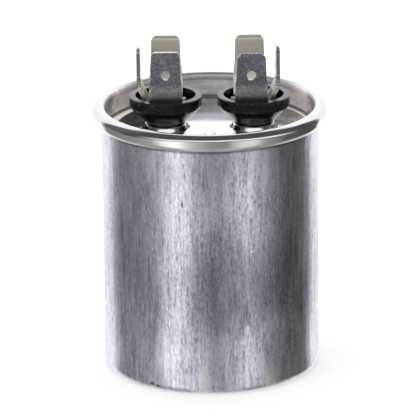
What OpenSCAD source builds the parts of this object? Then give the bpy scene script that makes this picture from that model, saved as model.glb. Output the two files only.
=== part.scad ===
// Motor run capacitor: a drawn aluminium can closed by a stamped lid in a rolled rim, with two
// three-blade quick-connect terminals in moulded bushings and a film winding inside.
// The origin is the centre of the can's base, with +Z along the can towards the terminals.
// The two terminals lie on the X axis, and each one's front blade faces -Y.

/* [Can] */
// Outside diameter of the can's straight wall
can_d = 48; // [46:0.5:60]
// Height from the base to the top of the rolled rim
can_h = 60; // [52:1:120]
// Thickness of the can's wall
can_wall = 0.45; // [0.35:0.05:0.55]
// Thickness of the can's base
base_t = 0.6; // [0.4:0.1:1.2]
// Outside rounding where the wall turns into the base
base_edge_r = 1.8; // [1.2:0.1:3]

/* [Rolled rim] */
// How far the rolled rim stands out beyond the can's wall
rim_overhang = 2; // [1.8:0.1:2.6]
// Play between the can's wall and the lid's edge folded in beside it
fold_gap = 0.13; // [0.08:0.01:0.2]
// How far the can's wall spreads on its way up inside the rim
wall_flare = 0.03; // [0.01:0.01:0.05]
// Play between the layers of metal that are rolled together
seam_gap = 0.05; // [0.03:0.01:0.08]
// Angle below the horizontal at which the can's rolled flange ends
hook_angle = 42; // [20:1:45]
// How far the lid's folded edge reaches back up inside the rim
fold_reach = 1.5; // [1:0.1:1.6]

/* [Lid] */
// Thickness of the lid's sheet
lid_t = 0.5; // [0.4:0.05:0.6]
// Depth of the lid's flat deck below the top of the rim
deck_depth = 5; // [4:0.25:9]
// Rounding between the deck and the upright wall around it
deck_fillet = 1; // [0.5:0.1:2]
// Diameter of the flat top of each raised boss
boss_d = 8.6; // [8:0.1:9]
// How far each boss is raised above the deck
boss_rise = 0.7; // [0.5:0.05:0.9]
// Distance of the fill hole from the middle of the lid
fill_offset = 7; // [6:0.25:10]
// Diameter of the fill hole
fill_d = 2; // [1:0.1:2.4]
// Diameter of the plug's head
plug_d = 3.14; // [2.8:0.02:4]
// Height of the plug's domed head
plug_rise = 0.6; // [0.3:0.05:1]

/* [Bushings] */
// Distance between the middles of the two bushings
bushing_spacing = 19.4; // [18.4:0.2:21]
// Height of the cup's rim above the deck
cup_rise = 7; // [6.5:0.1:9]
// Depth of the cup
cup_depth = 2.5; // [2:0.1:3]
// Thickness of the cup's wall
cup_wall = 1.4; // [1:0.05:1.6]
// Rounding at the foot of the cup's inner wall
cup_fillet = 0.5; // [0.2:0.1:0.8]
// Rounding of the cup's rim
cup_rim_r = 0.2; // [0.1:0.05:0.4]
// Rounding where the cup turns into the funnel
cup_edge_r = 1; // [0.5:0.1:1.4]
// Diameter of the bushing's foot on the boss
foot_d = 7.7; // [7:0.1:8]
// Height of the foot
foot_h = 0.25; // [0.2:0.05:0.5]
// How far the funnel starts outside the foot
foot_step = 0.5; // [0.2:0.05:0.8]
// Diameter of the spigot through the lid
spigot_d = 5; // [4.2:0.1:5.4]
// Play of the spigot in the lid's hole and in the seal
spigot_gap = 0.1; // [0.05:0.05:0.2]

/* [Terminals] */
// Thickness of the terminal's sheet
blade_t = 0.8; // [0.6:0.05:0.9]
// Width of a blade just below its bevelled tip
tip_w = 6.3; // [5.8:0.05:6.5]
// Width of a blade just above its shoulders
root_w = 6.75; // [6.5:0.05:7]
// Width of a leg below the shoulders
leg_w = 7.3; // [7.1:0.05:7.6]
// Height of the blade tips above the deck
blade_rise = 18.8; // [17:0.2:22]
// Height of the shoulders above the deck
shoulder_rise = 9.6; // [9:0.1:10.5]
// Distance from the terminal's middle to a blade's outer face
blade_reach = 6.35; // [6.2:0.05:6.8]
// Lean of the legs below the blades
leg_lean = 24; // [16:1:26]
// Height above the deck at which a leg turns upright into its blade
bend_rise = 9.9; // [9:0.1:11]
// Inside radius of the folds
fold_r = 0.6; // [0.4:0.05:0.8]
// Height of the bevelled tip
bevel_h = 1; // [0.5:0.1:1.5]
// How far each face is bevelled back at the tip
bevel_in = 0.2; // [0.1:0.05:0.3]
// How far the tip's corners are cut
corner_cut = 1; // [0.5:0.1:1.5]
// Diameter of the hole in each blade
eye_d = 2.1; // [1.5:0.1:2.4]
// Distance of the hole's middle below the tip
eye_drop = 5.3; // [4:0.1:6]
// Radius of the relief notches between neighbouring legs
notch_r = 0.7; // [0.6:0.05:0.9]
// How far the terminal's foot plate reaches on the side that has no blade
plate_reach = 4.3; // [4:0.1:4.8]
// How far the right terminal's blades sit off its rivet, along X
right_shift = -0.4; // [-0.5:0.05:0.5]
// Turn of the right terminal about its rivet
right_turn = 1.5; // [-3:0.5:3]
// Least play between the legs and the cup's wall
cup_gap = 0.05; // [0.05:0.05:0.3]

/* [Rivets, seals and lugs] */
// Diameter of a rivet's shank
rivet_d = 3; // [2.4:0.1:3.4]
// Play of the rivet in what it passes through
rivet_gap = 0.05; // [0.03:0.01:0.1]
// Diameter of the rivet's domed head
rivet_head_d = 5; // [4.4:0.1:5.6]
// Height of the rivet's head
rivet_head_h = 0.9; // [0.6:0.1:1.2]
// Thickness of the rivet's flared end
rivet_flare_t = 0.5; // [0.3:0.05:0.7]
// Diameter of the blind hole in the rivet's flared end
rivet_hollow_d = 1.7; // [1.2:0.1:1.9]
// Outside diameter of the rubber seal
seal_d = 6.6; // [6:0.1:7]
// Thickness of the rubber seal
seal_t = 1; // [0.8:0.1:1.4]
// Diameter of the inner insulator
insulator_d = 8.4; // [8:0.1:9]
// Thickness of the inner insulator
insulator_t = 1.5; // [1:0.1:2]
// Height of the insulator's collar around the seal
collar_h = 0.6; // [0.3:0.05:0.7]
// Diameter of the lug's ring
lug_d = 6.4; // [6:0.1:7]
// Thickness of the lug
lug_t = 0.5; // [0.4:0.05:0.8]
// Width of the lug's tail
lug_tail_w = 3; // [2.4:0.1:3.6]
// Play between the insulator's edge and the lead soldered beside it
solder_gap = 0.3; // [0.1:0.1:0.6]

/* [Winding] */
// Space for the filling liquid between the outer wrap and the liner
wrap_gap = 1; // [0.6:0.1:3]
// Outside diameter of the core tube
core_d = 8; // [6:0.2:9]
// Thickness of the core tube's wall
core_wall = 1; // [0.8:0.1:1.4]
// Thickness of the sprayed metal on each end
spray_t = 0.6; // [0.4:0.1:1]
// Thickness of the outer wrap
wrap_t = 0.4; // [0.3:0.05:0.6]
// How far the wrap stands out beyond each sprayed end
wrap_lip = 1.5; // [1.4:0.1:2]

/* [Insulation and leads] */
// Play between the liner and the can
liner_gap = 0.15; // [0.1:0.05:0.3]
// Thickness of the liner
liner_t = 0.5; // [0.3:0.05:0.6]
// How far the liner's edge reaches up around the hold-down cup
liner_lap = 2; // [1:0.5:4]
// Height of the hold-down cup
hold_h = 7; // [6.4:0.1:12]
// Thickness of the hold-down cup's wall and web
hold_t = 1.2; // [0.8:0.1:1.6]
// Height of the hold-down cup's web above the wrap's edge
web_rise = 0.8; // [0.5:0.1:1.2]
// Diameter of the lead wires
lead_d = 1; // [0.8:0.05:1.2]
// Middle radius of the bends in the leads
lead_bend_r = 1; // [0.8:0.1:1.2]
// Distance of the leads' soldered ends from the middle of the winding
solder_reach = 12; // [9:0.5:16]
// Thickness of the sleeve on the bottom lead
sleeve_t = 0.4; // [0.3:0.05:0.6]
// Play of the leads in the holes and the sleeve that they pass through
lead_gap = 0.05; // [0.03:0.01:0.1]
// How far the leads' ends stand up through the lug tails
lead_tip = 0.4; // [0.2:0.1:0.6]

/* [Hidden] */
$fn = 96;

can_r = can_d / 2;
can_bore_r = can_r - can_wall;
inner_edge_r = base_edge_r - can_wall;

// The rim is a round bead: its layers are arcs about one circle outside and one circle inside.
bead_r = rim_overhang - fold_gap;
bead_x = can_r + fold_gap;
bead_z = can_h - bead_r;
crown_r = fold_gap + can_wall + seam_gap + lid_t;
crown_z = can_h - crown_r;
well_r = bead_x - crown_r;
flange_r = bead_r - lid_t - seam_gap;
rim_foot_z = can_h - 2 * bead_r;
fold_x = bead_x + lid_t;
fold_z = rim_foot_z + lid_t;

deck_z = can_h - deck_depth;
deck_under_z = deck_z - lid_t;
boss_z = deck_z + boss_rise;
boss_under_z = boss_z - lid_t;
boss_bend_r = boss_rise / 2;
boss_foot_r = boss_d / 2 + 2 * boss_bend_r;
spigot_hole_r = spigot_d / 2 + spigot_gap;
rivet_hole_r = rivet_d / 2 + rivet_gap;

cup_top_z = deck_z + cup_rise;
cup_floor_z = cup_top_z - cup_depth;
blade_top_z = deck_z + blade_rise;
shoulder_z = deck_z + shoulder_rise;
bend_z = deck_z + bend_rise;
fold_foot_z = cup_floor_z + blade_t + fold_r;
leg_length = (bend_z - fold_foot_z) / cos(leg_lean);
fold_top_x = blade_reach - blade_t - fold_r;
fold_foot_x = fold_top_x - leg_length * sin(leg_lean);
lean_start_z = bend_z - (fold_r + blade_t) * tan(leg_lean / 2);
leg_reach_at_rim = blade_reach - (lean_start_z - cup_top_z) * tan(leg_lean);
leg_corner_r = norm([leg_w / 2 + abs(right_shift), leg_reach_at_rim]);
plate_corner_r = norm([leg_w / 2, plate_reach + abs(right_shift)]);
cup_bore_r = max(leg_corner_r, plate_corner_r + cup_fillet) + cup_gap;
cup_r = cup_bore_r + cup_wall;
funnel_x = foot_d / 2 + foot_step;
funnel_top_z = boss_z + foot_h + cup_r - funnel_x;
plate_top_z = cup_floor_z + blade_t;

seal_z = boss_under_z - seal_t;
insulator_z = seal_z - insulator_t;
lug_z = insulator_z - lug_t;
rivet_end_z = lug_z - rivet_flare_t;

liner_r = can_bore_r - liner_gap;
liner_floor_z = base_t + liner_t;
wrap_r = liner_r - liner_t - wrap_gap;
winding_r = wrap_r - wrap_t;
bottom_spray_z = liner_floor_z + wrap_lip;
winding_z = bottom_spray_z + spray_t;
wrap_top_z = deck_under_z - hold_h;
core_top_z = wrap_top_z - wrap_lip;
top_spray_z = core_top_z - spray_t;
web_z = wrap_top_z + web_rise;
hold_r = liner_r - liner_t - liner_gap;
core_r = core_d / 2;
core_bore_r = core_r - core_wall;
lead_r = lead_d / 2;
lead_hole_r = lead_r + lead_gap;
lug_reach = insulator_d / 2 + solder_gap + lead_r;
lug_hole_x = bushing_spacing / 2 - lug_reach;
lead_run_z = (web_z + hold_t + rivet_end_z) / 2;
lead_end_z = lug_z + lug_t + lead_tip;
bottom_run_z = bottom_spray_z - lead_r;

// A slice of a disc in the drawing plane, between two angles up to 180 degrees apart
module pie(r, from, to) {
    reach = 3 * r;
    intersection() {
        circle(r);
        polygon([[0, 0], for (a = [from, (from + to) / 2, to]) reach * [cos(a), sin(a)]]);
    }
}

// The same slice with its middle cut out, which is the section of a bent sheet
module ring_band(r_out, r_in, from, to) {
    difference() {
        pie(r_out, from, to);
        circle(r_in);
    }
}

// An upright tube standing on the height z
module tube(r_out, r_in, z, h) {
    translate([0, 0, z]) {
        difference() {
            cylinder(r = r_out, h = h);
            translate([0, 0, -1]) {
                cylinder(r = r_in, h = h + 2);
            }
        }
    }
}

// Puts a child at the left (-1) or right (1) bushing
module at_bushing(side) {
    translate([side * bushing_spacing / 2, 0, 0]) {
        children();
    }
}

// Half section of a plain round body or hollow whose lower edge is rounded
module round_footed_section(r, foot_z, edge_r, top_z) {
    translate([0, foot_z]) {
        square([r - edge_r, top_z - foot_z]);
    }
    translate([0, foot_z + edge_r]) {
        square([r, top_z - foot_z - edge_r]);
    }
    translate([r - edge_r, foot_z + edge_r]) {
        circle(edge_r);
    }
}

// Section of the can: flat base, rounded edge, straight wall and the flange rolled over outwards
module can_section() {
    neck_r = bead_x - can_r - wall_flare;
    neck_z = bead_z + flange_r - can_wall - neck_r;
    difference() {
        round_footed_section(can_r, 0, base_edge_r, rim_foot_z);
        round_footed_section(can_bore_r, base_t, inner_edge_r, rim_foot_z + 1);
    }
    polygon([[can_bore_r, rim_foot_z], [can_r, rim_foot_z], [can_r + wall_flare, neck_z],
        [can_bore_r + wall_flare, neck_z]]);
    translate([bead_x, neck_z]) {
        ring_band(neck_r + can_wall, neck_r, 90, 180);
    }
    translate([bead_x, bead_z]) {
        ring_band(flange_r, flange_r - can_wall, -hook_angle, 90);
    }
}

module can() {
    color([0.68, 0.68, 0.71]) rotate_extrude() can_section();
}

// Section of the lid: deck, upright wall, crown over the can's flange and the edge folded back up
module lid_section() {
    square_x = well_r - deck_fillet;
    translate([0, deck_under_z]) {
        square([square_x, lid_t]);
    }
    translate([square_x, deck_z + deck_fillet]) {
        ring_band(deck_fillet + lid_t, deck_fillet, -90, 0);
    }
    translate([well_r, deck_z + deck_fillet]) {
        square([lid_t, crown_z - deck_z - deck_fillet]);
    }
    translate([bead_x, crown_z]) {
        ring_band(crown_r, crown_r - lid_t, 90, 180);
    }
    translate([bead_x, bead_z]) {
        ring_band(bead_r, bead_r - lid_t, 0, 90);
    }
    translate([bead_x + bead_r - lid_t, bead_z - lid_t]) {
        square(lid_t);
    }
    translate([fold_x, bead_z - lid_t]) {
        ring_band(bead_r - lid_t, bead_r - 2 * lid_t, -90, 0);
    }
    translate([fold_x, fold_z]) {
        pie(lid_t, 180, 270);
    }
    translate([bead_x, fold_z]) {
        square([lid_t, fold_reach]);
    }
}

// Section of one boss, about its own middle: flat top and an S-shaped side of two quarter bends
module boss_section() {
    translate([spigot_hole_r, boss_under_z]) {
        square([boss_d / 2 - spigot_hole_r, lid_t]);
    }
    translate([boss_d / 2, deck_z + boss_bend_r]) pie(boss_bend_r, 0, 90);
    translate([boss_foot_r, deck_z + boss_bend_r]) {
        ring_band(boss_bend_r + lid_t, boss_bend_r, 180, 270);
    }
}

module lid() {
    color([0.72, 0.71, 0.72]) {
        difference() {
            rotate_extrude() lid_section();
            for (side = [-1, 1]) {
                at_bushing(side) {
                    translate([0, 0, deck_under_z - 1]) {
                        cylinder(r = boss_foot_r, h = lid_t + 2);
                    }
                }
            }
            translate([0, -fill_offset, deck_under_z - 1]) {
                cylinder(d = fill_d, h = lid_t + 2);
            }
        }
        for (side = [-1, 1]) {
            at_bushing(side) rotate_extrude() boss_section();
        }
    }
}

// Compound that fills the space between the can's rolled flange and the lid's folded edge
module seam_compound() {
    bead_fill_r = flange_r - can_wall - seam_gap;
    color([0.25, 0.25, 0.25]) rotate_extrude() {
        translate([bead_x, bead_z]) {
            intersection() {
                circle(bead_fill_r);
                translate([lid_t + seam_gap, -sin(hook_angle) * bead_fill_r]) {
                    square(bead_fill_r);
                }
            }
        }
    }
}

// Plug of the fill hole: domed head on the deck and a stem in the hole
module fill_plug() {
    head_r = plug_d / 2;
    dome_r = (pow(head_r, 2) + pow(plug_rise, 2)) / (2 * plug_rise);
    color([0.66, 0.65, 0.64]) translate([0, -fill_offset, deck_z]) {
        intersection() {
            translate([0, 0, plug_rise - dome_r]) {
                sphere(dome_r);
            }
            cylinder(r = head_r, h = plug_rise);
        }
        translate([0, 0, -lid_t - plug_rise]) {
            cylinder(d = fill_d - 2 * rivet_gap, h = lid_t + plug_rise);
        }
    }
}

// Section of a bushing: spigot, foot, 45-degree funnel and straight band, before it is hollowed
module bushing_body_section() {
    edge_z = funnel_top_z + cup_edge_r * tan(22.5);
    square_to_funnel = cup_edge_r / sqrt(2);
    polygon([[0, seal_z + spigot_gap], [spigot_d / 2, seal_z + spigot_gap], [spigot_d / 2, boss_z],
        [foot_d / 2, boss_z], [foot_d / 2, boss_z + foot_h], [funnel_x, boss_z + foot_h],
        [cup_r - cup_edge_r + square_to_funnel, edge_z - square_to_funnel], [cup_r - cup_edge_r, edge_z],
        [cup_r, edge_z], [cup_r, cup_top_z - cup_rim_r], [cup_r - cup_rim_r, cup_top_z - cup_rim_r],
        [cup_r - cup_rim_r, cup_top_z], [0, cup_top_z]]);
    translate([cup_r - cup_edge_r, edge_z]) {
        circle(cup_edge_r);
    }
    translate([cup_r - cup_rim_r, cup_top_z - cup_rim_r]) {
        circle(cup_rim_r);
    }
}

module bushing(side) {
    color([0.07, 0.07, 0.08]) at_bushing(side) rotate_extrude() {
        difference() {
            bushing_body_section();
            round_footed_section(cup_bore_r, cup_floor_z, cup_fillet, cup_top_z + 1);
            translate([0, seal_z - 1]) {
                square([rivet_hole_r, cup_top_z - seal_z + 2]);
            }
        }
    }
}

// Section of a terminal's leg from the rivet outwards: foot plate, fold, leaning leg, fold and blade
module leg_section() {
    translate([0, cup_floor_z]) {
        square([fold_foot_x, blade_t]);
    }
    translate([fold_foot_x, fold_foot_z]) {
        ring_band(fold_r + blade_t, fold_r, -90, -leg_lean);
        rotate(-leg_lean) translate([fold_r, 0]) {
            square([blade_t, leg_length]);
        }
    }
    translate([fold_top_x, bend_z]) {
        ring_band(fold_r + blade_t, fold_r, -leg_lean, 0);
    }
    translate([blade_reach - blade_t, bend_z]) {
        blade_h = blade_top_z - bend_z;
        polygon([[0, 0], [blade_t, 0], [blade_t, blade_h - bevel_h], [blade_t - bevel_in, blade_h],
            [bevel_in, blade_h], [0, blade_h - bevel_h]]);
    }
}

// Outline of a leg and its blade seen square on: wide leg, shoulders, slightly tapered blade, cut tip
module leg_outline() {
    corners = [[leg_w, cup_floor_z - 1], [leg_w, shoulder_z - (leg_w - root_w) / 2], [root_w, shoulder_z],
        [tip_w, blade_top_z - corner_cut], [tip_w - 2 * corner_cut, blade_top_z]];
    polygon(concat([for (c = corners) [c[0] / 2, c[1]]],
        [for (i = [len(corners) - 1:-1:0]) [-corners[i][0] / 2, corners[i][1]]]));
}

// One leg with its blade, standing off the terminal's middle along +X
module leg() {
    difference() {
        intersection() {
            rotate([90, 0, 0]) {
                linear_extrude(leg_w, center = true) leg_section();
            }
            rotate([90, 0, 90]) {
                linear_extrude(blade_reach) leg_outline();
            }
        }
        translate([fold_top_x, 0, blade_top_z - eye_drop]) {
            rotate([0, 90, 0]) cylinder(d = eye_d, h = 2 * blade_t + 2 * fold_r);
        }
    }
}

// One folded stamping: legs to the front, the back and the outer side, none to the inner side
module terminal(side, shift, turn) {
    notch = (fold_foot_x + leg_w / 2) / 2;
    color([0.72, 0.70, 0.66]) at_bushing(side) rotate(turn) difference() {
        translate([shift, 0, 0]) difference() {
            union() {
                for (a = [90, 270, side > 0 ? 0 : 180]) {
                    rotate(a) leg();
                }
                translate([side > 0 ? -plate_reach : 0, -leg_w / 2, cup_floor_z]) {
                    cube([plate_reach, leg_w, blade_t]);
                }
            }
            for (y = [-1, 1]) {
                translate([side * notch, y * notch, cup_floor_z - 1]) {
                    cylinder(r = notch_r, h = fold_foot_z - cup_floor_z + 1);
                }
            }
        }
        translate([0, 0, cup_floor_z - 1]) {
            cylinder(r = rivet_hole_r, h = blade_t + 2);
        }
    }
}

// Rivet that clamps terminal, bushing, lid, seal, insulator and lug together
module rivet(side) {
    head_r = rivet_head_d / 2;
    dome_r = (pow(head_r, 2) + pow(rivet_head_h, 2)) / (2 * rivet_head_h);
    color([0.75, 0.74, 0.70]) at_bushing(side) difference() {
        union() {
            intersection() {
                translate([0, 0, plate_top_z + rivet_head_h - dome_r]) {
                    sphere(dome_r);
                }
                translate([0, 0, plate_top_z]) {
                    cylinder(r = head_r, h = rivet_head_h);
                }
            }
            translate([0, 0, rivet_end_z]) {
                cylinder(d = rivet_d, h = plate_top_z - rivet_end_z);
            }
            translate([0, 0, lug_z]) {
                rotate_extrude() translate([rivet_d / 2, 0]) pie(rivet_flare_t, -90, 0);
            }
        }
        translate([0, 0, rivet_end_z - 1]) {
            cylinder(d = rivet_hollow_d, h = seal_t + insulator_t + 1);
        }
    }
}

// Rubber ring around the spigot, pressed against the underside of the boss
module seal(side) {
    color([0.12, 0.12, 0.12]) at_bushing(side) {
        tube(seal_d / 2, spigot_hole_r, seal_z, seal_t);
    }
}

// Flanged washer under the seal, with a collar that keeps the seal round
module inner_insulator(side) {
    collar_r = seal_d / 2 + spigot_gap;
    color([0.80, 0.72, 0.55]) at_bushing(side) {
        tube(insulator_d / 2, rivet_hole_r, insulator_z, insulator_t);
        tube(collar_r + lug_t, collar_r, seal_z, collar_h);
    }
}

// Ring under the rivet with a tail towards the middle, where a lead is soldered through its hole
module lug(side) {
    color([0.76, 0.66, 0.42]) at_bushing(side) translate([0, 0, lug_z]) difference() {
        union() {
            cylinder(d = lug_d, h = lug_t);
            translate([-side * lug_reach / 2, 0, lug_t / 2]) {
                cube([lug_reach, lug_tail_w, lug_t], center = true);
            }
            translate([-side * lug_reach, 0, 0]) {
                cylinder(d = lug_tail_w, h = lug_t);
            }
        }
        translate([0, 0, -1]) {
            cylinder(r = rivet_hole_r, h = lug_t + 2);
        }
        translate([-side * lug_reach, 0, -1]) {
            cylinder(r = lead_hole_r, h = lug_t + 2);
        }
    }
}

// Plastic cup that holds the winding down: its web has a hole for each lead
module hold_down_cup() {
    color([0.85, 0.84, 0.78]) difference() {
        union() {
            tube(hold_r, hold_r - hold_t, wrap_top_z, hold_h);
            translate([0, 0, web_z]) {
                cylinder(r = hold_r - hold_t / 2, h = hold_t);
            }
        }
        for (x = [solder_reach, 0]) {
            translate([x, 0, web_z - 1]) {
                cylinder(r = lead_hole_r, h = hold_t + 2);
            }
        }
    }
}

module winding() {
    color([0.80, 0.78, 0.70]) tube(winding_r, core_r, winding_z, top_spray_z - winding_z);
}

module core_tube() {
    color([0.30, 0.24, 0.18]) tube(core_r, core_bore_r, bottom_spray_z, core_top_z - bottom_spray_z);
}

module top_end_spray() {
    color([0.60, 0.60, 0.60]) tube(winding_r, core_r, top_spray_z, spray_t);
}

module bottom_end_spray() {
    color([0.60, 0.60, 0.60]) tube(winding_r, core_r, bottom_spray_z, spray_t);
}

module outer_wrap() {
    color([0.88, 0.80, 0.55]) tube(wrap_r, winding_r, liner_floor_z, wrap_top_z - liner_floor_z);
}

// Insulating beaker between the winding and the can
module liner() {
    top_z = wrap_top_z + liner_lap;
    color([0.70, 0.60, 0.42]) rotate_extrude() {
        difference() {
            round_footed_section(liner_r, base_t, inner_edge_r, top_z);
            round_footed_section(liner_r - liner_t, liner_floor_z, inner_edge_r - liner_t, top_z + 1);
        }
    }
}

// Upright stretch of wire from one height to another
module wire_up(x, from, to) {
    translate([x, 0, from]) {
        cylinder(r = lead_r, h = to - from);
    }
}

// Level stretch of wire along X
module wire_along(from, to, z) {
    translate([from, 0, z]) {
        rotate([0, 90, 0]) cylinder(r = lead_r, h = to - from);
    }
}

// Quarter bend of wire in the XZ plane: middle of the bend and the angle at which it starts
module wire_bend(x, z, start) {
    translate([x, 0, z]) {
        rotate([90, 0, 0]) rotate(start) rotate_extrude(angle = 90) {
            translate([lead_bend_r, 0]) {
                circle(lead_r);
            }
        }
    }
}

// Rise from one place, a level run and a second rise to a lug: to_x lies on the -X side of from_x
module stepped_rise(from_x, from_z, to_x) {
    wire_up(from_x, from_z, lead_run_z - lead_bend_r);
    wire_bend(from_x - lead_bend_r, lead_run_z - lead_bend_r, 0);
    wire_along(to_x + lead_bend_r, from_x - lead_bend_r, lead_run_z);
    wire_bend(to_x + lead_bend_r, lead_run_z + lead_bend_r, 180);
    wire_up(to_x, lead_run_z + lead_bend_r, lead_end_z);
}

// From the top end spray up through the hold-down cup to the right lug
module top_lead() {
    color([0.80, 0.80, 0.78]) stepped_rise(solder_reach, core_top_z, lug_hole_x);
}

// Along the bottom end spray, up through the core tube and on to the left lug
module bottom_lead() {
    color([0.80, 0.80, 0.78]) {
        wire_along(lead_bend_r, solder_reach, bottom_run_z);
        wire_bend(lead_bend_r, bottom_run_z + lead_bend_r, 180);
        stepped_rise(0, bottom_run_z + lead_bend_r, -lug_hole_x);
    }
}

// Insulating tube on the bottom lead where it passes through the core
module lead_sleeve() {
    start_z = bottom_run_z + lead_bend_r;
    color([0.75, 0.20, 0.15]) {
        tube(lead_hole_r + sleeve_t, lead_hole_r, start_z, web_z - start_z);
    }
}

can();
lid();
seam_compound();
fill_plug();
bushing(-1);  // left_bushing
bushing(1);  // right_bushing
terminal(-1, 0, 0);  // left_terminal
terminal(1, right_shift, right_turn);  // right_terminal
rivet(-1);  // left_rivet
rivet(1);  // right_rivet
seal(-1);  // left_seal
seal(1);  // right_seal
inner_insulator(-1);  // left_inner_insulator
inner_insulator(1);  // right_inner_insulator
lug(-1);  // left_lug
lug(1);  // right_lug
hold_down_cup();
winding();
core_tube();
top_end_spray();
bottom_end_spray();
outer_wrap();
liner();
top_lead();
bottom_lead();
lead_sleeve();
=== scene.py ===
import math

import bmesh
import bpy
import numpy as np
from mathutils import Matrix, Vector


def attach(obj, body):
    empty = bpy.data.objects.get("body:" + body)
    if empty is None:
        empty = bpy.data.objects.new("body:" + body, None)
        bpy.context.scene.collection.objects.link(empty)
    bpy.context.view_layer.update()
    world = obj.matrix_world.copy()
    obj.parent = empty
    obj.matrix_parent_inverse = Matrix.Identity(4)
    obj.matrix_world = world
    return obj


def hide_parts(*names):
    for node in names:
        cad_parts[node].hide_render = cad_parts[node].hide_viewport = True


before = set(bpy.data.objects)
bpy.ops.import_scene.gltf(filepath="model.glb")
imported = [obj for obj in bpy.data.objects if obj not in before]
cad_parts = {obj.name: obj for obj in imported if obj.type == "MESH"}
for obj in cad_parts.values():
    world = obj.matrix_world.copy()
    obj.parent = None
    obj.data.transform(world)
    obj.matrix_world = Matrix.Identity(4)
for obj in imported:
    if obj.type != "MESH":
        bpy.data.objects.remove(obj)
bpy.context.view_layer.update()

# ------------------------------------------------------------------ the can
# Deep-drawn aluminium, one piece with its base. Drawing leaves fine upright streaks and a wall that
# isn't quite round. The top edge is rolled out into a flange that the lid's rim is closed over.
# All sizes below are in millimetres and become metres when a mesh is made.
MM = 0.001

CAN_H = 60.0
CAN_R = 24.0
CAN_WALL = 0.45
CAN_BASE = 0.6
CAN_FOOT_R = 1.8
RIM_OVERHANG = 2.0
FOLD_GAP = 0.13
WALL_FLARE = 0.03
SEAM_GAP = 0.05
LID_T = 0.5
HOOK_ANGLE = 42
WAVES_FROM_Z = 1.5
WAVES_FADE = 3.0

rim_r = RIM_OVERHANG - FOLD_GAP
bead_x = CAN_R + FOLD_GAP
bead_z = CAN_H - rim_r
rim_foot_z = bead_z - rim_r
flange_r = rim_r - LID_T - SEAM_GAP
neck_r = FOLD_GAP - WALL_FLARE
neck_z = bead_z + flange_r - CAN_WALL - neck_r
foot_x = CAN_R - CAN_FOOT_R


def arc(x, z, radius, start, end, count):
    """Points at equal steps of angle on the circle of a radius about (x, z), from start to end degrees."""
    angle = np.radians(np.linspace(start, end, count))
    return np.stack([x + radius * np.cos(angle), z + radius * np.sin(angle)], axis=1)


def line(x0, z0, x1, z1, count):
    """Points at equal steps on the straight line from (x0, z0) to (x1, z1)."""
    return np.linspace((x0, z0), (x1, z1), count)


def grid_faces(rows, columns, closed=False):
    """Corner numbers of the quads between neighbours on a grid; closed joins its last column to its first."""
    number = np.arange(rows * columns).reshape(rows, columns)
    if closed:
        number = np.concatenate([number, number[:, :1]], axis=1)
    corners = [number[:-1, :-1], number[:-1, 1:], number[1:, 1:], number[1:, :-1]]
    return np.stack(corners, axis=-1).reshape(-1, 4)


def make_piece(name, points, faces, crease=35):
    """A piece from points in millimetres. Doubles are merged, and edges bent past the crease stay sharp."""
    mesh = bpy.data.meshes.new(name)
    mesh.from_pydata((np.asarray(points) * MM).tolist(), [], np.asarray(faces).tolist())
    work = bmesh.new()
    work.from_mesh(mesh)
    bmesh.ops.remove_doubles(work, verts=work.verts, dist=1e-7)
    bmesh.ops.recalc_face_normals(work, faces=work.faces)
    for face in work.faces:
        face.smooth = True
    for edge in work.edges:
        edge.smooth = not edge.is_manifold or edge.calc_face_angle(0) < math.radians(crease)
    work.to_mesh(mesh)
    work.free()
    piece = bpy.data.objects.new(name, mesh)
    bpy.context.scene.collection.objects.link(piece)
    return piece


def turned(profile, count):
    """A profile of (radius, height) carried round the upright axis: radius, angle and height on a grid."""
    around = np.linspace(0, 2 * math.pi, count, endpoint=False)
    radius, angle = np.meshgrid(profile[:, 0], around, indexing="ij")
    return radius, angle, np.repeat(profile[:, 1:], count, axis=1)


def round_piece(name, radius, angle, height, middle_y=0.0):
    """A piece through the points (radius sin angle, middle - radius cos angle, height), closed all round."""
    points = np.stack([radius * np.sin(angle), middle_y - radius * np.cos(angle), height], axis=-1)
    return make_piece(name, points.reshape(-1, 3), grid_faces(*radius.shape, closed=True))


def drawn_wall(angle, z):
    """How far the wall lies inside its true radius: waves round the can whose crests wander with height."""
    chance = np.random.default_rng(7)
    inside = np.zeros_like(angle)
    for waves, depth in ((3, 0.05), (7, 0.028), (13, 0.016), (24, 0.009), (41, 0.005), (67, 0.0028)):
        turn, wander, start = chance.uniform(0, 2 * math.pi, 3)
        drift = 1.3 * np.sin(z / 19 + wander) + 0.5 * np.sin(z / 7 + start)
        inside = inside + depth * (1 + np.sin(waves * angle + turn + drift))
    return inside


can_profile = np.concatenate([
    line(0, 0, foot_x, 0, 8),
    arc(foot_x, CAN_FOOT_R, CAN_FOOT_R, -84, 0, 12),
    line(CAN_R, CAN_FOOT_R + 1, CAN_R, rim_foot_z, 70),
    arc(bead_x, neck_z, neck_r, 180, 90, 5),
    arc(bead_x, bead_z, flange_r - CAN_WALL, 85, -HOOK_ANGLE, 12),
    arc(bead_x, bead_z, flange_r, -HOOK_ANGLE, 90, 14),
    arc(bead_x, neck_z, neck_r + CAN_WALL, 100, 180, 6),
    line(CAN_R - CAN_WALL, rim_foot_z, CAN_R - CAN_WALL, CAN_FOOT_R + 1, 40),
    arc(foot_x, CAN_FOOT_R, CAN_FOOT_R - CAN_WALL, 0, -60, 6),
    line(foot_x, CAN_BASE, 0, CAN_BASE, 6),
])
radius, angle, height = turned(can_profile, 480)
on_wall = np.clip((height - WAVES_FROM_Z) / WAVES_FADE, 0, 1)
on_wall = on_wall * np.clip((rim_foot_z - 1 - height) / WAVES_FADE, 0, 1)
can = round_piece("drawn_can", radius - on_wall * drawn_wall(angle, height), angle, height)


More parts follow.
